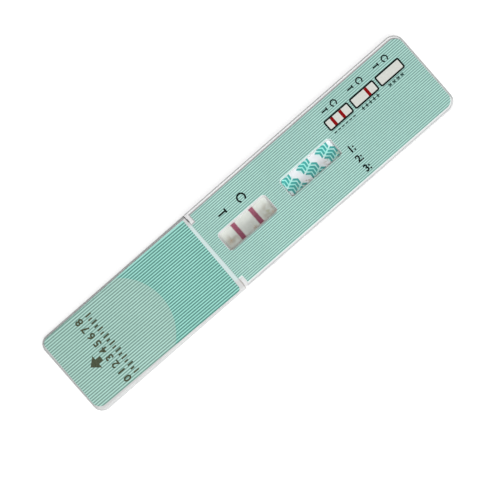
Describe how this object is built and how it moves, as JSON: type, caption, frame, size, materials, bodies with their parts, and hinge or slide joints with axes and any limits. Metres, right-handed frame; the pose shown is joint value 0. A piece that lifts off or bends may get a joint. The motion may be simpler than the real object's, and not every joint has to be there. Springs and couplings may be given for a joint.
{
  "type": "lateral flow cassette",
  "caption": "Flat capped dip card with a lateral flow strip inside: a result window, a second window, a striped label and a pull-off cap.",
  "frame": {"origin": "centre of the capped card's outline, on the plane that its back rests on", "axes": "+X along the card from the cap to the far end, +Y across the card, +Z out of the printed face"},
  "size_m": [0.118, 0.024, 0.0044],
  "materials": {
    "housing_plastic": "satin moulded white polystyrene",
    "cap_plastic": "satin moulded white polystyrene",
    "strip_card": "white laminated card",
    "sample_fibre": "soft cellulose pad",
    "conjugate_fibre": "glass fibre pad stained with dried reagent",
    "membrane_white": "matt nitrocellulose",
    "wick_fibre": "soft cellulose pad",
    "clear_film": "thin white film",
    "teal_ink": "printed ink",
    "line_dye": "purple line soaked into the membrane",
    "mint_label": "satin printed label film",
    "mint_ink": "printed ink",
    "key_black": "printed ink",
    "key_cream": "printed ink",
    "key_red": "printed ink",
    "cap_mint_label": "satin printed label film",
    "deep_teal_ink": "printed ink",
    "cap_mint_ink": "printed ink",
    "cap_deep_ink": "printed ink"
  },
  "bodies": {
    "card": {"front_housing": "housing_plastic", "back_housing": "housing_plastic", "backing_card": "strip_card", "sample_pad": "sample_fibre", "conjugate_pad": "conjugate_fibre", "membrane": "membrane_white", "absorbent_pad": "wick_fibre", "name_tape": "clear_film", "name_tape_print": "teal_ink", "dip_tape": "clear_film", "test_line": "line_dye", "control_line": "line_dye", "body_label": "mint_label", "body_label_stripes": "mint_ink", "result_key_frames": "key_black", "result_key_fields": "key_cream", "result_key_bars": "key_red"},
    "cap": {"cap": "cap_plastic", "cap_label": "cap_mint_label", "cap_label_field": "deep_teal_ink", "cap_label_stripes": "cap_mint_ink", "cap_field_stripes": "cap_deep_ink"}
  },
  "joints": [
    {"name": "cap_pull", "type": "slide", "parent": "card", "child": "cap", "axis": [-1, 0, 0], "range_m": [0, 0.045]}
  ]
}
